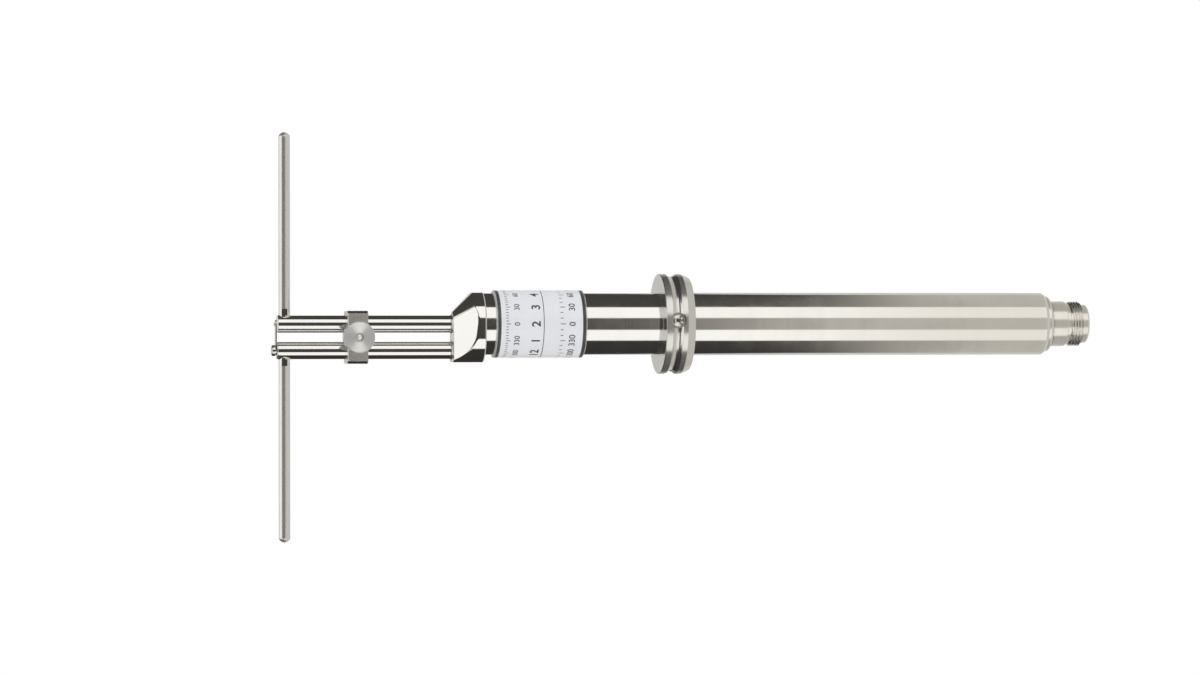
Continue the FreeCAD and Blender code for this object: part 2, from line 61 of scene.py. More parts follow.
# Line of points through corners (station, radius, rounding). A rounded corner is an arc that touches
# both of its sides, with a support point beyond each end, so that the flat stretches shade flat.
def softLine(corners, closed=True, steps=5, support=0.05):
    flat = [np.array(c[:2], float) for c in corners]
    line = []
    for i, corner in enumerate(corners):
        here, rounding = flat[i], corner[2]
        if not rounding or (not closed and i in (0, len(corners) - 1)):
            line.append(here[None])
            continue
        back, ahead = flat[i - 1] - here, flat[(i + 1) % len(flat)] - here
        half = acos(np.clip(unit(back) @ unit(ahead), -1, 1)) / 2
        reach = rounding / tan(half)
        centre = here + unit(unit(back) + unit(ahead)) * rounding / sin(half)
        start = here + unit(back) * reach - centre
        end = here + unit(ahead) * reach - centre
        turn = np.linspace(0, pi - 2 * half, steps + 1) * np.sign(start[0] * end[1] - start[1] * end[0])
        arc = centre + asPoints(np.cos(turn) * start[0] - np.sin(turn) * start[1],
                                np.sin(turn) * start[0] + np.cos(turn) * start[1])
        nearBack = min(support, 0.3 * (np.linalg.norm(back) - reach))
        nearAhead = min(support, 0.3 * (np.linalg.norm(ahead) - reach))
        line += [arc[:1] + unit(back) * nearBack, arc, arc[-1:] + unit(ahead) * nearAhead]
    return np.concatenate(line)


# Stations s and radii r on a grid, laid round an axis: s along it, r * cos t and r * sin t across it.
def aroundAxis(s, r, t, along="X", centre=(0, 0, 0)):
    across, up = r * np.cos(t), r * np.sin(t)
    order = {"X": (s, across, up), "Y": (up, s, across), "Z": (across, up, s)}[along]
    return asPoints(*order) + centre


# Grid of a line of (station, radius) points turned about an axis
def turned(line, segments, along="X", centre=(0, 0, 0)):
    t = np.arange(segments) * tau / segments
    return aroundAxis(line[:, :1], line[:, 1:2], t[None, :], along, centre)


# Faces of a grid: each point is joined to the next on its ring and to the same one on the next ring.
def gridFaces(rows, columns, closed):
    row = np.arange(rows if closed else rows - 1)[:, None]
    column = np.arange(columns)[None, :]
    here, ahead, beside = row * columns, (row + 1) % rows * columns, (column + 1) % columns
    return np.stack([here + column, here + beside, ahead + beside, ahead + column], axis=-1).reshape(-1, 4)


# Mesh of points and faces. Points that meet are joined, and the normals are made to point outwards.
def newMesh(points, faces):
    mesh = bpy.data.meshes.new("mesh")
    mesh.from_pydata((points.reshape(-1, 3) * mm).tolist(), [], faces)
    work = bmesh.new()
    work.from_mesh(mesh)
    bmesh.ops.remove_doubles(work, verts=work.verts, dist=2e-7)
    bmesh.ops.dissolve_degenerate(work, edges=work.edges, dist=1e-8)
    bmesh.ops.recalc_face_normals(work, faces=work.faces)
    work.to_mesh(mesh)
    work.free()
    return mesh


# Mesh of one grid of rings or of a list of them. Rings of no size become a pole.
def ringMesh(grids, closed=True):
    points, faces, first = [], [], 0
    for grid in grids if isinstance(grids, list) else [grids]:
        points.append(grid.reshape(-1, 3))
        faces.append(gridFaces(*grid.shape[:2], closed) + first)
        first += len(points[-1])
    return newMesh(np.concatenate(points), np.concatenate(faces).tolist())


# Mesh of corners turned about an axis. A line that starts on the axis is open, and any other is closed.
def turnedMesh(corners, segments, along="X", centre=(0, 0, 0)):
    closed = corners[0][1] > 0
    return ringMesh(turned(softLine(corners, closed), segments, along, centre), closed)


# Cylinder about an axis, as a tool for a hole
def drillGrid(low, high, radius, segments=64, along="X", centre=(0, 0, 0)):
    line = np.array([(low, 0), (low, radius), (high, radius), (high, 0)], float)
    return turned(line, segments, along, centre)


def drill(*sizes):
    return ringMesh(drillGrid(*sizes), closed=False)


# Outline (points, 2) pushed along X between two stations, its ends eased by a quarter round.
def pushedMesh(outline, start, end, easing, steps=3, support=0.05):
    forward = unit(np.roll(outline, -1, axis=0) - outline)
    along = unit(forward + np.roll(forward, 1, axis=0))
    inward = asPoints(-along[:, 1], along[:, 0])
    turn = np.linspace(0, pi / 2, steps + 1)
    inset, depth = easing * (1 - np.sin(turn)), easing * (1 - np.cos(turn))
    middle = [start + easing + support, end - easing - support]
    stations = np.concatenate([start + depth, middle, (end - depth)[::-1]])
    insets = np.concatenate([inset, [0, 0], inset[::-1]])
    flat = outline[None] + inward[None] * insets[:, None, None]
    rows, columns = flat.shape[:2]
    grid = asPoints(stations[:, None], flat[..., 0], flat[..., 1])
    ends = [list(range(columns)), list(range((rows - 1) * columns, rows * columns))]
    return newMesh(grid, gridFaces(rows, columns, False).tolist() + ends)


def barMesh(low, high):
    corners = np.array(np.meshgrid(*zip(low, high), indexing="ij")).reshape(3, -1).T
    faces = [(0, 1, 3, 2), (4, 6, 7, 5), (0, 4, 5, 1), (2, 3, 7, 6), (0, 2, 6, 4), (1, 5, 7, 3)]
    return newMesh(corners, faces)


def addObject(name, data):
    item = bpy.data.objects.new(name, data)
    scene.collection.objects.link(item)
    return item


def finalMesh(item):
    return bpy.data.meshes.new_from_object(item.evaluated_get(bpy.context.evaluated_depsgraph_get()))


# A mesh less its cutters, worked out once by Boolean modifiers and kept as a plain mesh.
def cutAway(mesh, *cutters):
    piece = addObject("cutting", mesh)
    tools = [addObject("cutter", cutter) for cutter in cutters]
    for tool in tools:
        cut = piece.modifiers.new("cut", "BOOLEAN")
        cut.operation, cut.solver, cut.object = "DIFFERENCE", "EXACT", tool
    result = finalMesh(piece)
    for spare in [piece, *tools]:
        bpy.data.objects.remove(spare)
    return result


# Names the piece, gives it its material and smooth shading, and hands it to the frame.
def addPiece(name, mesh, finish, slotName, *nodes, body="boom", sharpAngle=38):
    mesh.name = name
    piece = addObject(name, mesh)
    mesh.materials.clear()
    mesh.materials.append(materials[finish])
    mesh.shade_smooth()
    mesh.set_sharp_from_angle(angle=radians(sharpAngle))
    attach(piece, body)
    if nodes:
        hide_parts(*nodes)


# Camera at the photograph's angle
cameraLook = {
    "azimuth": -10.0, "elevation": 0.0, "roll": -0.001, "distance": 1.67, "lens": 142.5,
    "target": (-31.3, 0.0, -4.75), "sensor": 36.0, "clip": (0.05, 50.0),
}


def makeCamera(look):
    data = bpy.data.cameras.new("photoCamera")
    data.lens, data.sensor_width = look["lens"], look["sensor"]
    data.clip_start, data.clip_end = look["clip"]
    camera = addObject("photoCamera", data)
    azimuth, elevation = radians(look["azimuth"]), radians(look["elevation"])
    back = Vector((
        np.sin(azimuth) * np.cos(elevation), -np.cos(azimuth) * np.cos(elevation), np.sin(elevation),
    ))
    camera.location = Vector(look["target"]) * mm + back * look["distance"]
    camera.rotation_mode = "QUATERNION"
    camera.rotation_quaternion = (-back).to_track_quat("-Z", "Y") @ Quaternion((0, 0, 1), look["roll"])
    scene.camera = camera


makeCamera(cameraLook)
scene.view_settings.view_transform = "Standard"
print("camera placed")


# Small helpers for node trees. A value is a number, a tuple or another node's output.
def link(tree, value, socket):
    if isinstance(value, (int, float, tuple)):
        socket.default_value = value
    else:
        tree.links.new(value, socket)


# Fills inputs by name, with _ for each space in a name.
def fill(tree, node, **named):
    for label, value in named.items():
        link(tree, value, node.inputs[label.replace("_", " ")])


def addNode(tree, kind, *values, settings={}, **named):
    node = tree.nodes.new("ShaderNode" + kind)
    for label, setting in settings.items():
        setattr(node, label, setting)
    for value, socket in zip(values, node.inputs):
        link(tree, value, socket)
    fill(tree, node, **named)
    return node


def calc(tree, operation, *values):
    return addNode(tree, "Math", *values, settings={"operation": operation}).outputs[0]


def times(tree, first, second):
    return calc(tree, "MULTIPLY", first, second)


# First value times its weight, plus the second times its own
def weigh(tree, first, firstWeight, second, secondWeight):
    return calc(tree, "ADD", times(tree, first, firstWeight), times(tree, second, secondWeight))


def ramp(tree, value, fromLow, fromHigh, low=0.0, high=1.0, shape="SMOOTHSTEP"):
    return addNode(tree, "MapRange", value, fromLow, fromHigh, low, high,
                   settings={"interpolation_type": shape}).outputs[0]


def blendColours(tree, factor, first, second):
    node = addNode(tree, "Mix", factor, settings={"data_type": "RGBA"})
    link(tree, first, node.inputs[6])
    link(tree, second, node.inputs[7])
    return node.outputs[2]


def noise(tree, dimensions="3D", **named):
    return addNode(tree, "TexNoise", settings={"noise_dimensions": dimensions}, **named).outputs["Fac"]


def splitVector(tree, vector):
    return addNode(tree, "SeparateXYZ", vector).outputs


def objectPoint(tree):
    return addNode(tree, "TexCoord").outputs["Object"]


def bump(tree, height):
    return addNode(tree, "Bump", Distance=1.0, Height=height).outputs[0]


def newMaterial(name, **named):
    material = bpy.data.materials.new(name)
    material.use_nodes = True
    tree = material.node_tree
    shader = tree.nodes["Principled BSDF"]
    fill(tree, shader, **named)
    return material, tree, shader


# Studio: pale walls with dark flags beside the camera. Metal sees the flags, and everything else sees
# plain soft light. The first four sizes are angles round the boom. Most others are angles out of the
# plane across it, from the start to the end of a soft edge.
studioLook = {
    "frontFlag": 22.0, "topFlag": (65.0, 138.0), "topFlagLeft": 158.0, "outer": (40.0, 48.0),
    "topFlagTurn": (9.5, 12.5), "softEdge": 1.6,
    "flagColour": (0.052, 0.049, 0.046, 1),
    "lowFlagColour": (0.032, 0.030, 0.028, 1),
    "wallColour": (1.0, 0.985, 0.955, 1),
    "rearColour": (0.60, 0.585, 0.56, 1),
    "rightColour": (0.56, 0.545, 0.515, 1),
    "endFlagColour": (0.50, 0.475, 0.43, 1),
    "endWallColour": (0.82, 0.785, 0.715, 1),
    "frontFlagEnd": (10.3, 12.5), "topFlagEnd": (12.2, 14.3),
    "leftFlagStart": (-37.0, -34.0), "leftFlagEnd": (-16.0, -12.0),
    "leftWall": (-60.0, -53.0), "rightWall": (30.0, 42.0),
    "lowFlag": (-0.5, 0.0), "softLight": (0.70, 1.0),
}


def makeStudio(look):
    world = bpy.data.worlds.new("studio")
    scene.world = world
    world.use_nodes = True
    world.cycles.sampling_method = "NONE"
    tree = world.node_tree
    tree.nodes.clear()
    x, y, z = splitVector(tree, addNode(tree, "TexCoord").outputs["Generated"])
    toDegrees = 180 / pi
    # around: angle round the boom from the camera's side. beside: angle out of the plane across the boom.
    around = times(tree, calc(tree, "ARCTAN2", z, times(tree, y, -1.0)), toDegrees)
    around = calc(tree, "ABSOLUTE", around)
    beside = times(tree, calc(tree, "ARCSINE", x), toDegrees)
    soft, (topStart, topStop) = look["softEdge"], look["topFlag"]
    frontEdge = ramp(tree, around, look["frontFlag"] - soft, look["frontFlag"] + soft)
    topEdge = ramp(tree, around, topStart - soft, topStart + soft)
    rearStart = ramp(tree, beside, *look["topFlagTurn"], look["topFlagLeft"], topStop)
    rearEdge = ramp(tree, calc(tree, "SUBTRACT", around, rearStart), -soft, soft)
    wall = times(tree, frontEdge, calc(tree, "SUBTRACT", 1.0, topEdge))
    frontEnd = ramp(tree, beside, *look["frontFlagEnd"])
    topEnd = ramp(tree, beside, *look["topFlagEnd"])
    isOuter = ramp(tree, around, *look["outer"])
    ending = weigh(tree, frontEnd, calc(tree, "SUBTRACT", 1.0, isOuter), topEnd, isOuter)
    flags = blendColours(tree, ramp(tree, z, *look["lowFlag"]), look["lowFlagColour"], look["flagColour"])
    flags = blendColours(tree, ending, flags, look["endFlagColour"])
    walls = blendColours(tree, topEnd, look["wallColour"], look["endWallColour"])
    seen = blendColours(tree, wall, flags, walls)
    leftFlag = times(tree, ramp(tree, beside, *look["leftFlagStart"]),
                    ramp(tree, beside, *look["leftFlagEnd"], 1.0, 0.0))
    seen = blendColours(tree, leftFlag, seen, look["flagColour"])
    seen = blendColours(tree, rearEdge, seen, look["rearColour"])
    seen = blendColours(tree, ramp(tree, beside, *look["rightWall"]), seen, look["rightColour"])
    seen = blendColours(tree, ramp(tree, beside, *look["leftWall"]), look["wallColour"], seen)
    # Plain light, a little stronger from above
    strength = ramp(tree, z, -1.0, 1.0, *look["softLight"], "LINEAR")
    plain = addNode(tree, "CombineColor", strength, strength, strength)
    path = addNode(tree, "LightPath").outputs
    mirrored = calc(tree, "MAXIMUM", path["Is Glossy Ray"], path["Is Transmission Ray"])
    light = blendColours(tree, mirrored, plain.outputs[0], seen)
    light = blendColours(tree, path["Is Camera Ray"], light, (1.0, 1.0, 1.0, 1.0))
    addNode(tree, "OutputWorld", addNode(tree, "Background", Color=light).outputs[0])


# Pale floor well below the antenna. It fades to plain white at its rim.
floorLook = {"height": -250.0, "reach": 900.0, "fade": (0.35, 0.85), "colour": (0.93, 0.93, 0.92, 1)}


def makeFloor(look):
    line = np.array([(look["height"], look["reach"] * share) for share in (0.0, 0.5, 1.0)])
    mesh = ringMesh(turned(line, 96, "Z"), closed=False)
    if mesh.polygons[0].normal.z < 0:
        mesh.flip_normals()
    floor = addObject("floor", mesh)
    floor.visible_glossy = floor.visible_transmission = False
    material, tree, shader = newMaterial("floorPaper", Base_Color=look["colour"], Roughness=0.9,
                                         Specular_IOR_Level=0.0)
    distance = addNode(tree, "VectorMath", objectPoint(tree), settings={"operation": "LENGTH"})
    fade = ramp(tree, distance.outputs["Value"], *look["fade"])
    mix = addNode(tree, "MixShader", fade, shader.outputs[0], addNode(tree, "Emission").outputs[0])
    link(tree, mix.outputs[0], tree.nodes["Material Output"].inputs[0])
    mesh.materials.append(material)


makeStudio(studioLook)
makeFloor(floorLook)
print("studio ready")


# Shared finishes, as node groups. Each takes a vector and some numbers, and gives numbers.
def newGroup(name, numbers, results):
    group = bpy.data.node_groups.new(name, "ShaderNodeTree")
    group.interface.new_socket("Vector", in_out="INPUT", socket_type="NodeSocketVector")
    for label, value in numbers.items():
        socket = group.interface.new_socket(label, in_out="INPUT", socket_type="NodeSocketFloat")
        socket.default_value = value
    for label in results:
        group.interface.new_socket(label, in_out="OUTPUT", socket_type="NodeSocketFloat")
    return group, group.nodes.new("NodeGroupInput").outputs, group.nodes.new("NodeGroupOutput").inputs


# Lathe lines: noise in one dimension along (station + radius), so the lines are rings on every side.
def makeLatheLines():
    group, given, made = newGroup("latheLines", {"Lines Per Metre": 4000.0, "Unevenness": 0.5},
                                  ["Lines", "Bands"])
    x, y, z = splitVector(group, given["Vector"])
    along = calc(group, "ADD", x, calc(group, "SQRT", weigh(group, y, y, z, z)))
    along = times(group, along, given["Lines Per Metre"])
    for label, ratio, detail in (("Lines", 1.0, 2.0), ("Bands", 0.08, 3.0)):
        lines = noise(group, "1D", W=times(group, along, ratio), Scale=1.0, Detail=detail,
                      Roughness=given["Unevenness"])
        link(group, lines, made[label])
    return group


# Handling marks: thin scratches from two stretched noises, and soft smudges from a wide one.
def makeHandlingMarks():
    group, given, made = newGroup("handlingMarks", {"Scratch Scale": 900.0, "Smudge Scale": 70.0},
                                  ["Scratches", "Smudges"])
    lines = []
    for turn, stretch in (((0.3, 0.5, 0.2), (0.04, 1.0, 1.0)), ((1.1, -0.4, 0.9), (1.0, 0.05, 1.0))):
        mapping = addNode(group, "Mapping", Vector=given["Vector"], Rotation=turn, Scale=stretch)
        level = noise(group, Vector=mapping.outputs[0], Scale=given["Scratch Scale"], Detail=1.0)
        off = calc(group, "ABSOLUTE", calc(group, "SUBTRACT", level, 0.5))
        lines.append(ramp(group, off, 0.0, 0.02, 1.0, 0.0))
    gate = noise(group, Vector=given["Vector"], Scale=given["Smudge Scale"], Detail=4.0)
    sparse = ramp(group, gate, 0.5, 0.65)
    link(group, times(group, calc(group, "MAXIMUM", *lines), sparse), made["Scratches"])
    link(group, ramp(group, gate, 0.35, 0.7), made["Smudges"])
    return group


# Drawn grain: noise stretched along one direction of its vector.
def makeDrawnGrain():
    group, given, made = newGroup("drawnGrain", {"Scale": 5000.0, "Stretch": 0.02}, ["Grain", "Patches"])
    stretch = addNode(group, "CombineXYZ", given["Stretch"], 1.0, 1.0).outputs[0]
    squeezed = addNode(group, "VectorMath", given["Vector"], stretch, settings={"operation": "MULTIPLY"})
    for label, ratio in (("Grain", 1.0), ("Patches", 0.06)):
        grain = noise(group, Vector=squeezed.outputs[0], Scale=times(group, given["Scale"], ratio),
                      Detail=3.0)
        link(group, grain, made[label])
    return group


latheLines = makeLatheLines()
handlingMarks = makeHandlingMarks()
drawnGrain = makeDrawnGrain()

# Turn that takes the pattern's X to the axis a piece was made about
axisTurn = {"X": (0, 0, 0), "Y": (0, 0, pi / 2), "Z": (0, -pi / 2, 0)}


def placeGroup(tree, group, **named):
    return addNode(tree, "Group", settings={"node_tree": group}, **named).outputs


# A metal: turned or drawn lines about its axis set its roughness and relief, and handling marks dull
# it in places. "lines" is a count per metre and the depths are metres. Faces beyond brushedBeyond from
# the middle stay rougher than the rest, and milledWithin (middle, reach) polishes what lies inside it.
def makeMetal(name, colour, deepColour, roughness, spread=0.04, kind="turned", axis="X", centre=(0, 0, 0),
              lines=6000.0, lineDepth=1.0e-6, scratchDepth=1.0e-6, brushedBeyond=None, milledWithin=None,
              metallic=1.0):
    material, tree, shader = newMaterial(name, Metallic=metallic)
    mapping = addNode(tree, "Mapping", settings={"vector_type": "TEXTURE"}, Vector=objectPoint(tree),
                      Location=tuple(Vector(centre) * mm), Rotation=axisTurn[axis])
    vector = mapping.outputs[0]
    if kind == "turned":
        fine, wide = placeGroup(tree, latheLines, Vector=vector, Lines_Per_Metre=lines)
    else:
        fine, wide = placeGroup(tree, drawnGrain, Vector=vector, Scale=lines)
    scratches, smudges = placeGroup(tree, handlingMarks, Vector=vector)
    dull = weigh(tree, wide, 0.6, smudges, 0.4)
    uneven = weigh(tree, fine, 0.5, dull, 0.5)
    rough = calc(tree, "ADD", times(tree, scratches, spread),
                 ramp(tree, uneven, 0.2, 0.8, roughness - spread, roughness + spread, "LINEAR"))
    if brushedBeyond:
        depth = calc(tree, "ABSOLUTE", splitVector(tree, objectPoint(tree))[1])
        face = ramp(tree, depth, (brushedBeyond - 0.08) * mm, brushedBeyond * mm, 0.35, 1.0)
        rough = times(tree, rough, face)
    if milledWithin:
        middle, reach = milledWithin
        height = splitVector(tree, objectPoint(tree))[2]
        off = calc(tree, "ABSOLUTE", calc(tree, "SUBTRACT", height, middle * mm))
        plain = ramp(tree, off, (reach - 0.05) * mm, reach * mm)
        rough = times(tree, rough, ramp(tree, plain, 0.0, 1.0, 0.45, 1.0))
        fill(tree, shader, Metallic=ramp(tree, plain, 0.0, 1.0, 1.0, metallic))
    fill(tree, shader, Base_Color=blendColours(tree, dull, colour + (1.0,), deepColour + (1.0,)),
         Roughness=rough, Normal=bump(tree, weigh(tree, fine, lineDepth, scratches, -scratchDepth)))
    return material


# A moulded or printed material: a fine grain in colour, roughness and relief.
def makePlastic(name, colour, deepColour, roughness, scale=900.0, depth=2.0e-6):
    material, tree, shader = newMaterial(name)
    vector = objectPoint(tree)
    grain, patches = placeGroup(tree, drawnGrain, Vector=vector, Scale=scale, Stretch=1.0)
    smudges = placeGroup(tree, handlingMarks, Vector=vector)["Smudges"]
    tone = weigh(tree, patches, 0.6, smudges, 0.4)
    fill(tree, shader, Base_Color=blendColours(tree, tone, colour + (1.0,), deepColour + (1.0,)),
         Roughness=ramp(tree, grain, 0.25, 0.75, roughness - 0.05, roughness + 0.05, "LINEAR"),
         Normal=bump(tree, times(tree, grain, depth)))
    return material


# Colour, deeper colour, roughness and what else differs from a plain metal or plastic
steel, steelDeep = (0.96, 0.95, 0.93), (0.91, 0.90, 0.88)
nickel, nickelDeep = (0.86, 0.84, 0.80), (0.78, 0.76, 0.71)
metals = {
    "polishedTube": (steel, steelDeep, 0.095, dict(spread=0.03, lines=3000.0, lineDepth=1.2e-7)),
    "polishedHead": (steel, steelDeep, 0.08, dict(spread=0.03, lines=2500.0, lineDepth=1e-7)),
    "polishedBalun": (steel, steelDeep, 0.075, dict(
        spread=0.03, kind="drawn", lines=3000.0, lineDepth=2e-7)),
    "solder": ((0.80, 0.80, 0.79), (0.66, 0.66, 0.66), 0.24, dict(
        kind="drawn", lines=900.0, lineDepth=6e-6)),
    "turnedBrass": ((0.78, 0.60, 0.30), (0.62, 0.46, 0.22), 0.3, {}),
    "nickelPlug": (nickel, nickelDeep, 0.25, {}),
    "nickelStrap": (nickel, nickelDeep, 0.22, dict(kind="drawn", axis="Z", lines=4000.0)),
    "screwSteel": ((0.88, 0.87, 0.85), (0.74, 0.73, 0.71), 0.14, dict(centre=stubAxis)),
    "clampSteel": ((0.97, 0.96, 0.95), (0.90, 0.89, 0.87), 0.3, dict(
        axis="Y", centre=knobAxis, metallic=0.55)),
    "drawnRod": ((0.86, 0.85, 0.83), (0.78, 0.77, 0.75), 0.22, dict(
        kind="drawn", axis="Z", centre=rodAxis, lines=5000.0, lineDepth=3e-7, metallic=0.8,
        milledWithin=(-4.6, 9.95))),
    "slideMetal": ((0.86, 0.85, 0.83), (0.76, 0.75, 0.73), 0.40, dict(
        kind="drawn", axis="Z", lines=4500.0, lineDepth=2e-6, brushedBeyond=5.76)),
    "turnedKnob": ((0.84, 0.835, 0.825), (0.76, 0.755, 0.745), 0.30, dict(
        axis="Y", centre=knobAxis, lines=5000.0, lineDepth=1.5e-6, metallic=0.78)),
    "turnedRing": ((0.86, 0.86, 0.84), (0.78, 0.77, 0.75), 0.22, dict(lines=4500.0, lineDepth=1.5e-6)),
    "socketScrew": ((0.92, 0.91, 0.89), (0.80, 0.79, 0.77), 0.14, dict(kind="drawn")),
    "satinBush": (steel, steelDeep, 0.24, dict(lines=3500.0, lineDepth=2e-6)),
    "jackNickel": ((0.96, 0.945, 0.915), (0.90, 0.88, 0.85), 0.20, dict(lines=4000.0, lineDepth=1.5e-6)),
    "goldContact": ((0.95, 0.74, 0.36), (0.84, 0.62, 0.28), 0.22, {}),
    "silverWire": ((0.90, 0.89, 0.86), (0.78, 0.76, 0.72), 0.22, dict(kind="drawn")),
    "copperJacket": ((0.86, 0.50, 0.34), (0.70, 0.38, 0.25), 0.3, dict(kind="drawn")),
}
plastics = {
    "whiteDielectric": ((0.82, 0.82, 0.80), (0.74, 0.74, 0.71), 0.45, {}),
    "spacerPlastic": ((0.70, 0.70, 0.68), (0.60, 0.60, 0.58), 0.5, {}),
    "labelBacking": ((0.66, 0.67, 0.69), (0.56, 0.57, 0.59), 0.5, {}),
    "labelFoil": ((0.88, 0.895, 0.925), (0.84, 0.855, 0.89), 0.35, dict(scale=1500.0, depth=5e-7)),
    "labelInk": ((0.022, 0.022, 0.026), (0.045, 0.045, 0.05), 0.4, dict(depth=5e-7)),
}
materials = {}
for make, looks in ((makeMetal, metals), (makePlastic, plastics)):
    for name, look in looks.items():
        materials[name] = make(name, *look[:3], **look[3])
print("materials ready")

# Boom tube: a ground front part, a slightly larger spigot and a chamfered rear end
boomTube = {
    "corners": [
        (-73.2, 9.5, 0.1), (-73.2, 10.84, 0.12), (-0.03, 10.84, 0.02), (0.03, 11.0, 0.02),
        (128.2, 11.0, 0.25), (129.3, 10.25, 0.15), (129.3, 9.5, 0.1),
    ],
    "segments": 192,
}
boomMesh = turnedMesh(boomTube["corners"], boomTube["segments"])
addPiece("boomTube", boomMesh, "polishedTube", "polished_tube", "boom_tube")

# Transition head. Every point lies on a ray across the boom from one inner line. Its distance is the
# least of what the outline, the cone and the two facets allow there, joined by soft corners.
transitionHead = {
    "front": -84.0, "rear": -73.2, "spigotEnd": -63.2,
    "width": 11.4, "top": 11.0, "flatFoot": -3.4, "bottom": -13.4, "ovalReach": 10.39,
    "noseRadius": 4.2, "coneLength": 7.0,
    "facetSlope": 1.1, "facetLean": 0.11, "facetHalfWidth": 4.17,
    "spigotRadius": 9.47, "innerZ": -4.6,
    "softCorner": (0.12, 0.65), "edge": 0.18, "rearEdge": 0.35, "frontSupport": 0.97,
    "stations": 110, "rays": 400,
    "bore": 3.03, "boreFront": -90.0, "coaxBoreEnd": -60.0, "stubBoreEnd": -75.2,
}


# Lower of two distances, with a parabola of the given softness where they cross.
def softLower(first, second, softness):
    share = np.clip(0.5 + 0.5 * (second - first) / softness, 0, 1)
    return second * (1 - share) + first * share - softness * share * (1 - share)


# Distance along a ray from (0, innerZ) to an ellipse with its centre at (0, middle).
def toEllipse(across, up, innerZ, middle, halfWidth, halfHeight):
    a = (across / halfWidth) ** 2 + (up / halfHeight) ** 2
    b = up * (innerZ - middle) / halfHeight ** 2
    c = ((innerZ - middle) / halfHeight) ** 2 - 1
    return (-b + np.sqrt(np.maximum(b * b - a * c, 0))) / a


def headDistance(look, x, angle):
    across, up = np.sin(angle), np.cos(angle)
    inner, width, far, tiny = look["innerZ"], look["width"], 60.0, 1e-6
    side = np.abs(across)
    inPlane, atSide = look["softCorner"]
    soft = inPlane + (atSide - inPlane) * side ** 2
    upperRound = toEllipse(across, up, inner, 0.0, width, width)
    lowerRound = toEllipse(across, up, inner, look["flatFoot"], width, look["ovalReach"])
    sides = width / np.maximum(side, tiny)
    height = inner + sides * up
    outline = np.where(height > 0, upperRound, np.where(height < look["flatFoot"], lowerRound, sides))
    topFlat = (look["top"] - inner) / np.maximum(up, tiny)
    footFlat = (inner - look["bottom"]) / np.maximum(-up, tiny)
    outline = softLower(outline, np.minimum(topFlat, far), soft)
    outline = softLower(outline, np.minimum(footFlat, far), soft)
    # Cone: radius about the boom's axis grows with the station. It only counts above the axis.
    nose = look["noseRadius"]
    coneRadius = nose + (x - look["front"]) * (width - nose) / look["coneLength"]
    cone = toEllipse(across, up, inner, 0.0, coneRadius, coneRadius)
    cone = np.where(inner + cone * up > 0, cone, far)
    # Facets: slope * |y| + lean * z stays under what the station allows.
    allowed = x - look["front"] + look["facetSlope"] * look["facetHalfWidth"] - look["facetLean"] * inner
    slant = look["facetSlope"] * side + look["facetLean"] * up
    facets = np.minimum(allowed / np.maximum(slant, tiny), far)
    return softLower(softLower(outline, facets, soft), cone, soft)


def makeHead(look):
    front, rear, edge, inner = look["front"], look["rear"], look["edge"], look["innerZ"]
    angle = ((np.arange(look["rays"]) + 0.5) * tau / look["rays"])[None, :]
    side = np.linspace(front, rear - look["rearEdge"], look["stations"])[:, None]
    distance = headDistance(look, side, angle)
    # The front edge is eased by a quarter round, and the rear edge is a small chamfer.
    ease = np.linspace(0, pi / 2, 5)[:, None]
    frontRing = distance[:1] - edge * (1 - np.sin(ease))
    chamfer = headDistance(look, rear, angle) - look["rearEdge"]
    spigot = toEllipse(np.sin(angle), np.cos(angle), inner, 0.0, look["spigotRadius"], look["spigotRadius"])
    rows = [
        (front, 0 * chamfer), (front, frontRing[:1] * look["frontSupport"]), (front, frontRing[:1]),
        (front + edge * (1 - np.cos(ease[1:])) / 2, frontRing[1:]), (side[1:], distance[1:]),
        (rear, chamfer), (rear, spigot), (look["spigotEnd"], spigot), (look["spigotEnd"], 0 * spigot),
    ]
    grid = np.concatenate([asPoints(x, r * np.sin(angle), inner + r * np.cos(angle)) for x, r in rows])
    return cutAway(
        ringMesh(grid, closed=False),
        drill(look["boreFront"], look["coaxBoreEnd"], look["bore"], 96),
        drill(look["boreFront"], look["stubBoreEnd"], look["bore"], 96, "X", stubAxis),
    )


addPiece("transitionHead", makeHead(transitionHead), "polishedHead", "polished_head", "transition_head",
         sharpAngle=50)
print("boom and head made")

# Balun tubes, with a flat seat under each element
balunTubes = {
    "outer": 3.0, "bore": 1.82, "front": -145.1, "edge": 0.12, "innerEdge": 0.05,
    "seat": 2.75, "seatTop": 6.0, "seatRadius": 2.05,
}


def makeBalunTube(look, end, axisZ, sign):
    outer, inner = look["outer"], look["innerEdge"]
    mesh = turnedMesh([
        (look["front"], look["bore"], inner), (look["front"], outer, look["edge"]),
        (end, outer, inner), (end, look["bore"], inner),
    ], 96, "X", (0, 0, axisZ))
    low, high = axisZ + sign * look["seat"], axisZ + sign * look["seatTop"]
    return cutAway(mesh, drill(low, high, look["seatRadius"], 64, "Z", rodAxis))


coaxMesh = makeBalunTube(balunTubes, -63.2, 0.0, 1)
stubMesh = makeBalunTube(balunTubes, -75.25, -9.2, -1)
addPiece("coaxTube", coaxMesh, "polishedBalun", "polished_balun", "coax_tube")
addPiece("stubTube", stubMesh, "polishedBalun", "polished_balun", "stub_tube")

# Solder: hollow fillet round each tube, a little uneven, kept on the head's front face
solderFillets = {
    "inner": 3.03, "size": 0.7, "front": -84.0, "unevenness": 0.05,
    "faceHalf": 4.13, "faceLean": 0.1, "faceReach": 3.5, "least": 0.06,
}


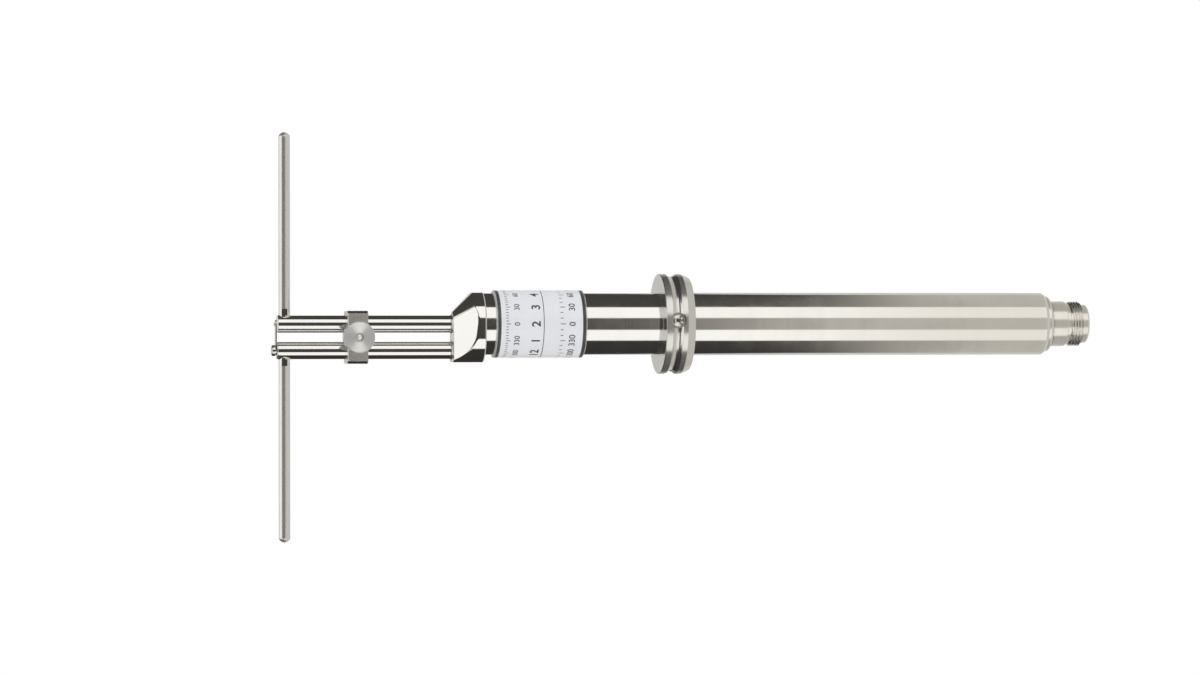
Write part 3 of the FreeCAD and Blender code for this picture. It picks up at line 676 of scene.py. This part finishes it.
def solderRing(look, axisZ, seed, segments=96):
    t = np.arange(segments) * tau / segments
    waves = np.sin(3 * t + seed) + 0.6 * np.sin(5 * t + 2 * seed) + 0.4 * np.sin(8 * t - seed)
    size = look["size"] * (1 + look["unevenness"] * waves)
    # The outer radius stops at the facets' front edges, where |y| is faceHalf - faceLean * z.
    z = axisZ + look["faceReach"] * np.cos(t)
    room = (look["faceHalf"] - look["faceLean"] * z) / np.maximum(np.abs(np.sin(t)), 1e-6) - look["inner"]
    size = np.minimum(size, np.maximum(room, look["least"]))
    bend = np.linspace(0, pi / 2, 7)[:, None]
    corner = np.ones((1, segments))
    x = np.concatenate([look["front"] - size * (1 - np.cos(bend)), look["front"] * corner])
    r = np.concatenate([look["inner"] + size * (1 - np.sin(bend)), look["inner"] * corner])
    return asPoints(x, r * np.sin(t), axisZ + r * np.cos(t))


solderMesh = ringMesh([solderRing(solderFillets, 0.0, 0.4), solderRing(solderFillets, -9.2, 2.1)])
addPiece("solderFillets", solderMesh, "solder", "solder", "solder_fillets")

# Feed strap: a flat link with round ends, eased edges and two holes
feedStrap = {
    "halfWidth": 1.5, "top": 0.0, "foot": -9.2, "front": -145.9, "rear": -145.4, "edge": 0.08,
    "drilled": (-147.0, -144.0), "screwHole": 1.15, "pinHole": 0.49,
}


def makeStrap(look, count=24):
    bend = np.linspace(0, pi, count)
    across, up = look["halfWidth"] * np.cos(bend), look["halfWidth"] * np.sin(bend)
    outline = np.concatenate([asPoints(across, look["top"] + up), asPoints(-across, look["foot"] - up)])
    return cutAway(
        pushedMesh(outline, look["front"], look["rear"], look["edge"]),
        drill(*look["drilled"], look["screwHole"], 48, "X", stubAxis),
        drill(*look["drilled"], look["pinHole"], 48),
    )


addPiece("feedStrap", makeStrap(feedStrap), "nickelStrap", "nickel_strap", "feed_strap")

# Strap screw: slotted cheese head
strapScrew = {
    "corners": [
        (-147.2, 0, 0), (-147.2, 1.9, 0.35), (-145.9, 1.9, 0.05), (-145.9, 1.0, 0.05), (-141.9, 1.0, 0.2),
        (-141.9, 0, 0),
    ],
    "slot": ((-149.0, -0.25, -13.0), (-146.6, 0.25, -5.0)),
}
screwMesh = cutAway(turnedMesh(strapScrew["corners"], 64, "X", stubAxis), barMesh(*strapScrew["slot"]))
addPiece("strapScrew", screwMesh, "screwSteel", "screw_steel", "strap_screw")

# Elements: rods with a domed tip and two wrench flats beside the tube
elements = {
    "radius": 2.0, "seat": 2.75, "neck": 1.15, "flats": (3.0, 5.35), "flatHalf": 1.75, "reach": 66.7,
    "dome": 1.4, "tube": 3.0, "fillet": 0.22, "footDrop": 0.35, "overTube": 0.02,
    "upper": (0.0, 1), "lower": (-9.2, -1),
}


# The dome is an arc of radius (radius^2 + dome^2) / (2 * dome). Between the flats |y| is cut to flatHalf.
def makeElement(look, axisZ, sign):
    radius, dome, fillet, reach = look["radius"], look["dome"], look["fillet"], look["reach"]
    ball = (radius ** 2 + dome ** 2) / (2 * dome)
    bend = np.linspace(np.arcsin(radius / ball), 0, 14)
    tip = asPoints(reach - ball + ball * np.cos(bend), ball * np.sin(bend))
    low, high = look["flats"]
    start = low - look["footDrop"]
    bend = np.linspace(0, pi / 2, 5)
    foot = asPoints(start + fillet * (1 - np.cos(bend)), radius + fillet * (1 - np.sin(bend)))
    stations = [low, low + 0.02, high - 0.02, high, high + 0.05, reach / 2, reach - dome - 0.3]
    side = asPoints(stations, radius)
    line = np.concatenate([[(look["seat"], 0.0), (look["seat"], look["neck"])], foot, side, tip])
    grid = turned(line, 96, "Z", rodAxis)
    # The foot follows the tube under it: each of its rings sinks by what the tube falls away there.
    footRings = grid[2:2 + len(foot)]
    fall = look["tube"] - np.sqrt(look["tube"] ** 2 - footRings[..., 1] ** 2)
    footRings[..., 2] += look["tube"] + look["overTube"] - start - fall
    flat = (line[:, 0] > low) & (line[:, 0] < high)
    grid[flat, :, 1] = np.clip(grid[flat, :, 1], -look["flatHalf"], look["flatHalf"])
    grid[..., 2] = axisZ + sign * grid[..., 2]
    return ringMesh(grid, closed=False)


for end in ("upper", "lower"):
    addPiece(end + "Element", makeElement(elements, *elements[end]), "drawnRod", "drawn_rod",
             end + "_element", sharpAngle=32)
print("tubes, strap and elements made")

# Tuning slide: two jaws, each an outline with two half bores, pushed along the tubes
slideJaws = {
    "split": 0.25, "outer": 5.8, "low": -13.8, "high": 4.6, "chamfer": 0.95, "soft": 0.1, "bore": 3.08,
    "boreHeights": (0.0, -9.2), "start": -121.2, "end": -114.0, "edge": 0.2,
    "screwHoles": {"front": 1.4, "rear": 1.29},
}


def jawOutline(look):
    split, outer, low, high, bore = (look[key] for key in ("split", "outer", "low", "high", "bore"))
    chamfer, soft = look["chamfer"], look["soft"]
    # Outer side, from below upwards, with a chamfer at both ends
    parts = [softLine([
        (split, low, 0), (outer - chamfer, low, soft), (outer, low + chamfer, soft),
        (outer, high - chamfer, soft), (outer - chamfer, high, soft), (split, high, 0),
    ], closed=False, steps=3)]
    # Inner side, from the top: each half bore is an arc that starts and ends at the split
    half = np.arccos(split / bore)
    turn = np.linspace(half, -half, 40)
    for height in look["boreHeights"]:
        parts.append(asPoints(bore * np.cos(turn), height + bore * np.sin(turn)))
    return np.concatenate(parts)


# The front jaw is the rear one in a mirror, apart from its screw hole.
def makeJaw(look, end):
    outline = jawOutline(look)
    if end == "front":
        outline = (outline * (-1, 1))[::-1]
    mesh = pushedMesh(outline, look["start"], look["end"], look["edge"], steps=1)
    return cutAway(mesh, drill(-9.0, 9.0, look["screwHoles"][end], 48, "Y", knobAxis))


for name, end in (("slideFrontJaw", "front"), ("slideRearJaw", "rear")):
    addPiece(name, makeJaw(slideJaws, end), "slideMetal", "slide_metal", f"slide_{end}_jaw",
             body="tuning_slide")

# Thumb knob and its riveted screw
clampKnob = {
    "recess": [(-9.1, 0.93, 0), (-9.1, 1.08, 0), (-9.5, 1.1, 0), (-9.65, 1.6, 0)],
    "rim": [(-9.65, 5.15, 0), (-9.65, 5.5, 0.25), (-5.85, 5.5, 0.2), (-5.85, 0.93, 0.05)],
    "grooves": 20, "grooveSlope": 0.38,
}
clampScrew = {
    "corners": [
        (-9.6, 0, 0), (-9.6, 0.14, 0.04), (-9.77, 0.32, 0.06), (-9.55, 0.86, 0.06), (-9.4, 0.9, 0.04),
        (-5.85, 0.9, 0.05), (-5.85, 1.25, 0.05), (5.8, 1.25, 0.25), (5.8, 0, 0),
    ],
}


# The knob's face is turned in fine V grooves: the station falls and rises evenly with the radius.
def knobLine(look):
    start, end = look["recess"][-1], look["rim"][0]
    radius = np.linspace(start[1], end[1], 2 * look["grooves"] + 1)
    depth = look["grooveSlope"] * (radius[1] - radius[0])
    face = asPoints(start[0] + depth * (np.arange(len(radius)) % 2), radius)
    return np.concatenate([softLine(look["recess"], False), face[1:-1], softLine(look["rim"], False)])


knobMesh = ringMesh(turned(knobLine(clampKnob), 128, "Y", knobAxis))
addPiece("clampKnob", knobMesh, "turnedKnob", "turned_knob", "clamp_knob", body="thumb_knob")
clampMesh = turnedMesh(clampScrew["corners"], 64, "Y", knobAxis)
addPiece("clampScrew", clampMesh, "clampSteel", "screw_steel", "clamp_screw", body="thumb_knob")
print("tuning slide made")

# Index ring: front band, rounded groove, rim and taper, with a hole and a spot face for each set screw
indexRing = {
    "front": -10.6, "rear": -0.1, "bore": 10.89, "radius": 17.6, "edge": 0.25,
    "groove": (-8.3, -4.6), "grooveDepth": 0.9, "rimEnd": -2.9, "taperRadius": 16.35, "support": 0.06,
    "screwX": -6.45, "screwTurns": (-4.0, 86.0, 176.0, 266.0),
    "hole": (5.0, 20.0, 2.04), "spot": (16.4, 20.0, 2.8),
}


# The groove is an arc through both of its edges and its floor.
def grooveArc(look, count=22):
    low, high = look["groove"]
    half, depth = (high - low) / 2, look["grooveDepth"]
    ball = (half ** 2 + depth ** 2) / (2 * depth)
    bend = np.linspace(-np.arcsin(half / ball), np.arcsin(half / ball), count)
    radius = look["radius"] - depth + ball * (1 - np.cos(bend))
    return asPoints((low + high) / 2 + ball * np.sin(bend), radius)


# One copy of a grid about Z for each set screw, turned about X
def atScrews(grid, look):
    copies = []
    for degrees in look["screwTurns"]:
        c, s = np.cos(radians(degrees)), np.sin(radians(degrees))
        copies.append(grid @ np.array(((1, 0, 0), (0, c, s), (0, -s, c))) + (look["screwX"], 0, 0))
    return copies


def makeRing(look):
    radius, front, rear, support = look["radius"], look["front"], look["rear"], look["support"]
    low, high = look["groove"]
    before = softLine([
        (rear, look["bore"], 0.1), (front, look["bore"], 0.15), (front, radius, look["edge"]),
        (low - support, radius, 0), (low, radius, 0),
    ], closed=False)
    after = softLine([
        (high, radius, 0), (high + support, radius, 0), (look["rimEnd"], radius, 0.08),
        (rear, look["taperRadius"], 0.15), (rear, look["bore"], 0.1),
    ], closed=False)
    mesh = ringMesh(turned(np.concatenate([before, grooveArc(look)[1:-1], after]), 192))
    tools = [drillGrid(*look[kind], 64, "Z") for kind in ("hole", "spot")]
    return cutAway(mesh, *[ringMesh(atScrews(tool, look), closed=False) for tool in tools])


addPiece("indexRing", makeRing(indexRing), "turnedRing", "turned_ring", "index_ring")

# Set screws: rings from the rim inwards, then down a hexagonal socket. The socket's edge is
# halfKey / cos(angle to the nearest flat).
setScrews = {
    "foot": 10.89, "top": 15.89, "radius": 2.0, "chamfer": 0.25, "crown": 0.3,
    "halfKey": 1.0, "keyDepth": 2.2, "mouth": 1.12, "mouthDepth": 0.08, "tipDepth": 0.3,
}


def setScrewGrid(look):
    t = np.arange(96) * tau / 96
    hexagon = look["halfKey"] / np.cos((t + pi / 6) % (pi / 3) - pi / 6)
    top, foot, radius, chamfer = look["top"], look["foot"], look["radius"], look["chamfer"]
    floor = top - look["keyDepth"]
    rows = [
        (foot, 0), (foot, radius - chamfer), (foot + chamfer, radius), (top - look["crown"], radius),
        (top, hexagon * look["mouth"]), (top - look["mouthDepth"], hexagon), (floor, hexagon),
        (floor - look["tipDepth"], 0),
    ]
    s = np.array([station for station, _ in rows])[:, None]
    r = np.array([reach * np.ones_like(t) for _, reach in rows])
    return aroundAxis(s, r, t[None, :], "Z")


screwMesh = ringMesh(atScrews(setScrewGrid(setScrews), indexRing), closed=False)
addPiece("indexRingScrews", screwMesh, "socketScrew", "socket_screw", "index_ring_screws", sharpAngle=30)
print("index ring made")

# Rear bush and jack body
rearBush = {
    "corners": [
        (119.3, 6.04, 0.1), (119.3, 9.47, 0.1), (129.3, 9.47, 0), (129.3, 9.8, 0.08), (130.7, 9.8, 0.9),
        (131.6, 8.0, 0.1), (131.6, 6.04, 0.1),
    ],
}
addPiece("rearBush", turnedMesh(rearBush["corners"], 128), "satinBush", "satin_bush", "rear_bush")

jackBody = {
    "before": [
        (117.3, 3.4, 0.1), (117.3, 6.0, 0.1), (131.6, 6.0, 0.05), (131.6, 8.0, 0.12), (136.9, 8.0, 0.25),
        (136.9, 7.25, 0.1), (138.1, 7.25, 0),
    ],
    "after": [
        (142.6, 6.8, 0), (145.0, 6.8, 0.7), (145.0, 4.2, 0.15), (131.0, 4.2, 0.1), (131.0, 3.4, 0.1),
        (117.3, 3.4, 0),
    ],
    "threadStart": 138.1, "threadEnd": 142.6, "threadRadius": 7.94, "threadDepth": 0.62, "pitch": 1.058,
    "threadStep": 0.055, "firstStep": 0.02, "steepness": 1.25, "crestShare": 0.12, "runOut": 0.55,
}


# Thread: the radius falls from crest to root as a rounded triangle of the station less one pitch a turn,
# and runs out to the relief and the nose at its ends.
def makeJack(look, segments=160):
    t = (np.arange(segments) * tau / segments)[None, :]
    start, end, runOut = look["threadStart"], look["threadEnd"], look["runOut"]
    x = np.arange(start + look["firstStep"], end, look["threadStep"])[:, None]
    phase = ((x - look["pitch"] * t / tau) / look["pitch"]) % 1.0
    depth = np.clip(np.abs(2 * phase - 1) * look["steepness"] - look["crestShare"], 0, 1)
    room = np.minimum(x - start, end - x)
    crest = look["threadRadius"] - np.clip(runOut - room, 0, runOut)
    thread = np.minimum(crest, look["threadRadius"] - look["threadDepth"] * depth)
    before, after = softLine(look["before"], False), softLine(look["after"], False)
    s = np.concatenate([before[:, :1], x, after[:, :1]])
    r = np.concatenate([np.repeat(before[:, 1:], segments, axis=1), thread,
                        np.repeat(after[:, 1:], segments, axis=1)])
    return ringMesh(aroundAxis(s, r, t))


addPiece("jackBody", makeJack(jackBody), "jackNickel", "jack_nickel", "jack_body", sharpAngle=44)

# Centre contact: a slotted sleeve with a solder cup behind
jackContact = {
    "corners": [
        (128.5, 0, 0), (128.5, 1.52, 0.1), (140.0, 1.52, 0.25), (140.0, 0.825, 0.1), (135.0, 0.825, 0.05),
        (135.0, 0, 0),
    ],
    "slots": (((136.0, -0.15, -4.0), (142.0, 0.15, 4.0)), ((136.0, -4.0, -0.15), (142.0, 4.0, 0.15))),
}
contactSlots = [barMesh(low, high) for low, high in jackContact["slots"]]
contactMesh = cutAway(turnedMesh(jackContact["corners"], 96), *contactSlots)
addPiece("jackContact", contactMesh, "goldContact", "gold_contact", "jack_contact")
print("rear end made")

# Label: a thin foil round the boom, a printed scale on it and a clear cover over both
labelFoil = {
    "start": -69.3, "end": -38.1,
    "corners": [(-69.3, 11.64, 0), (-69.3, 11.74, 0), (-38.1, 11.74, 0), (-38.1, 11.64, 0)],
}
labelPrint = {
    "radius": 11.75, "edgeGap": 0.02, "edgeLine": 1.2, "ringSteps": 192, "faceReach": 0.7,
    "fine": {"start": -66.4, "step": 5, "short": 0.9, "long": 1.6, "every": 6, "width": 0.24,
             "numberAt": -61.6, "size": 2.6, "bold": 0.012},
    "bold": {"numberAt": -54.4, "count": 12, "firstTurn": -30, "size": 4.2, "bold": 0.022,
             "line": -53.2, "width": 0.26},
    "rear": {"start": -47.2, "step": 10, "short": 1.0, "long": 1.8, "every": 3, "width": 0.26,
             "numberAt": -42.0, "size": 3.1, "bold": 0.012},
}


# Flat print (u along the writing, v up it) laid on the label: x = station - v, and the angle round the
# boom, from the camera's side upwards, is u / radius.
def wrapPrint(u, v, station, turnAngle, radius):
    angle = u / radius + radians(turnAngle)
    return asPoints(station - v, -radius * np.cos(angle), radius * np.sin(angle))


# A patch of print between two stations, through the given distances round the label
def printPatch(lowX, highX, turnAngle, distances, radius):
    u, v = np.meshgrid(distances, (0.0, lowX - highX))
    return wrapPrint(u, v, lowX, turnAngle, radius)


# A number's outline, filled, cut into short faces so that it can follow the label's curve.
def printNumber(text, size, bold, faceReach):
    curve = bpy.data.curves.new("number", "FONT")
    curve.body, curve.size, curve.offset, curve.align_x = text, size, bold * size, "CENTER"
    holder = addObject("number", curve)
    mesh = finalMesh(holder)
    bpy.data.objects.remove(holder)
    work = bmesh.new()
    work.from_mesh(mesh)
    bmesh.ops.remove_doubles(work, verts=work.verts, dist=1e-4)
    for _ in range(3):
        bmesh.ops.triangulate(work, faces=work.faces)
        longEdges = [edge for edge in work.edges if edge.calc_length() > faceReach]
        bmesh.ops.subdivide_edges(work, edges=longEdges, cuts=1)
    bmesh.ops.triangulate(work, faces=work.faces)
    work.to_mesh(mesh)
    work.free()
    points = np.empty(len(mesh.vertices) * 3)
    mesh.vertices.foreach_get("co", points)
    corners = np.empty(len(mesh.loops), int)
    mesh.loops.foreach_get("vertex_index", corners)
    bpy.data.meshes.remove(mesh)
    return points.reshape(-1, 3)[:, :2], corners.reshape(-1, 3)


def makePrint(look, foil):
    radius, bold = look["radius"], look["bold"]
    start, end = foil["start"], foil["end"]
    allRound = np.linspace(0, tau * radius, look["ringSteps"] + 1)
    # A dark ring along each end of the foil, in the same dark colour as the print, and one printed ring
    # line by the bold numbers.
    rings = [
        (start + look["edgeGap"], start + look["edgeLine"]),
        (end - look["edgeLine"], end - look["edgeGap"]),
        (bold["line"], bold["line"] + bold["width"]),
    ]
    patches = [printPatch(low, high, 0, allRound, radius) for low, high in rings]
    numbers = []
    for scale in (look["fine"], look["rear"]):
        across = (-scale["width"] / 2, scale["width"] / 2)
        for i, angle in enumerate(range(0, 360, scale["step"])):
            isLong = i % scale["every"] == 0
            reach = scale["long"] if isLong else scale["short"]
            patches.append(printPatch(scale["start"], scale["start"] + reach, angle, across, radius))
            if isLong:
                numbers.append((str(angle), scale, angle))
    for i in range(bold["count"]):
        numbers.append((str(i + 1), bold, 360 / bold["count"] * i + bold["firstTurn"]))
    points, faces, first = [], [], 0
    for grid in patches:
        columns = grid.shape[1]
        column = np.arange(columns - 1)
        faces.append(np.stack([column, column + 1, column + columns + 1], axis=-1) + first)
        faces.append(np.stack([column, column + columns + 1, column + columns], axis=-1) + first)
        points.append(grid.reshape(-1, 3))
        first += len(points[-1])
    for text, scale, angle in numbers:
        flat, corners = printNumber(text, scale["size"], scale["bold"], look["faceReach"])
        points.append(wrapPrint(flat[:, 0], flat[:, 1], scale["numberAt"], angle, radius))
        faces.append(corners + first)
        first += len(flat)
    points, corners = np.concatenate(points), np.concatenate(faces)
    # Faces that point inwards are turned round.
    sides = points[corners]
    normal = np.cross(sides[:, 1] - sides[:, 0], sides[:, 2] - sides[:, 0])
    inward = (normal[:, 1:] * sides[:, 0, 1:]).sum(axis=1) < 0
    corners[inward] = corners[inward][:, ::-1]
    mesh = bpy.data.meshes.new("labelPrint")
    mesh.from_pydata((points * mm).tolist(), [], corners.tolist())
    return mesh


addPiece("labelFoil", turnedMesh(labelFoil["corners"], 192), "labelFoil", "label_foil", "label_foil")
addPiece("labelPrint", makePrint(labelPrint, labelFoil), "labelInk", "label_foil", sharpAngle=180)

clearCover = {
    "corners": [
        (-69.8, 10.86, 0.03), (-69.8, 11.2, 0.1), (-69.34, 12.0, 0.12), (-38.06, 12.0, 0.12),
        (-37.6, 11.2, 0.1), (-37.6, 10.86, 0.03), (-38.05, 10.86, 0.03), (-38.05, 11.78, 0.03),
        (-69.35, 11.78, 0.03), (-69.35, 10.86, 0.03),
    ],
    "colour": (0.80, 0.81, 0.82, 1), "overFoil": 0.02, "atEnds": 0.22, "rim": 0.35, "facing": 0.25,
    "scratched": 0.05, "roughness": (0.07, 0.13),
}


def makeFilm(look, foil):
    material, tree, shader = newMaterial("clearFilm", Base_Color=look["colour"])
    position = objectPoint(tree)
    # The film shows most where it bends down to the boom, and at its rim.
    middle = (foil["start"] + foil["end"]) / 2 * mm
    half = (foil["end"] - foil["start"]) / 2 * mm
    station = splitVector(tree, position)[0]
    fromMiddle = calc(tree, "ABSOLUTE", calc(tree, "SUBTRACT", station, middle))
    atEnds = ramp(tree, fromMiddle, half - 0.1 * mm, half + 0.1 * mm, look["overFoil"], look["atEnds"])
    facing = addNode(tree, "LayerWeight", Blend=look["facing"]).outputs["Facing"]
    scratches, smudges = placeGroup(tree, handlingMarks, Vector=position)
    extra = weigh(tree, calc(tree, "POWER", facing, 3.0), look["rim"], scratches, look["scratched"])
    fill(tree, shader, Alpha=calc(tree, "MINIMUM", calc(tree, "ADD", atEnds, extra), 1.0),
         Roughness=ramp(tree, smudges, 0.0, 1.0, *look["roughness"], "LINEAR"))
    return material


materials["clearFilm"] = makeFilm(clearCover, labelFoil)
addPiece("clearCover", turnedMesh(clearCover["corners"], 192), "clearFilm", "clear_film", "clear_cover")
print("label made")

# Inner pieces keep their CAD meshes and take finished materials.
innerNodes = {
    "turnedBrass": ("coax_tube_bush", "cable_ferrule"), "nickelPlug": ("stub_tube_plug",),
    "whiteDielectric": ("bush_insulator", "jack_insulator", "line_dielectric"),
    "labelBacking": ("label_carrier",), "silverWire": ("line_conductor",),
    "copperJacket": ("line_jacket",), "spacerPlastic": ("line_spacers",),
}
for finish, nodes in innerNodes.items():
    for node in nodes:
        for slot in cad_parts[node].material_slots:
            slot.material = materials[finish]
print("inner pieces finished")
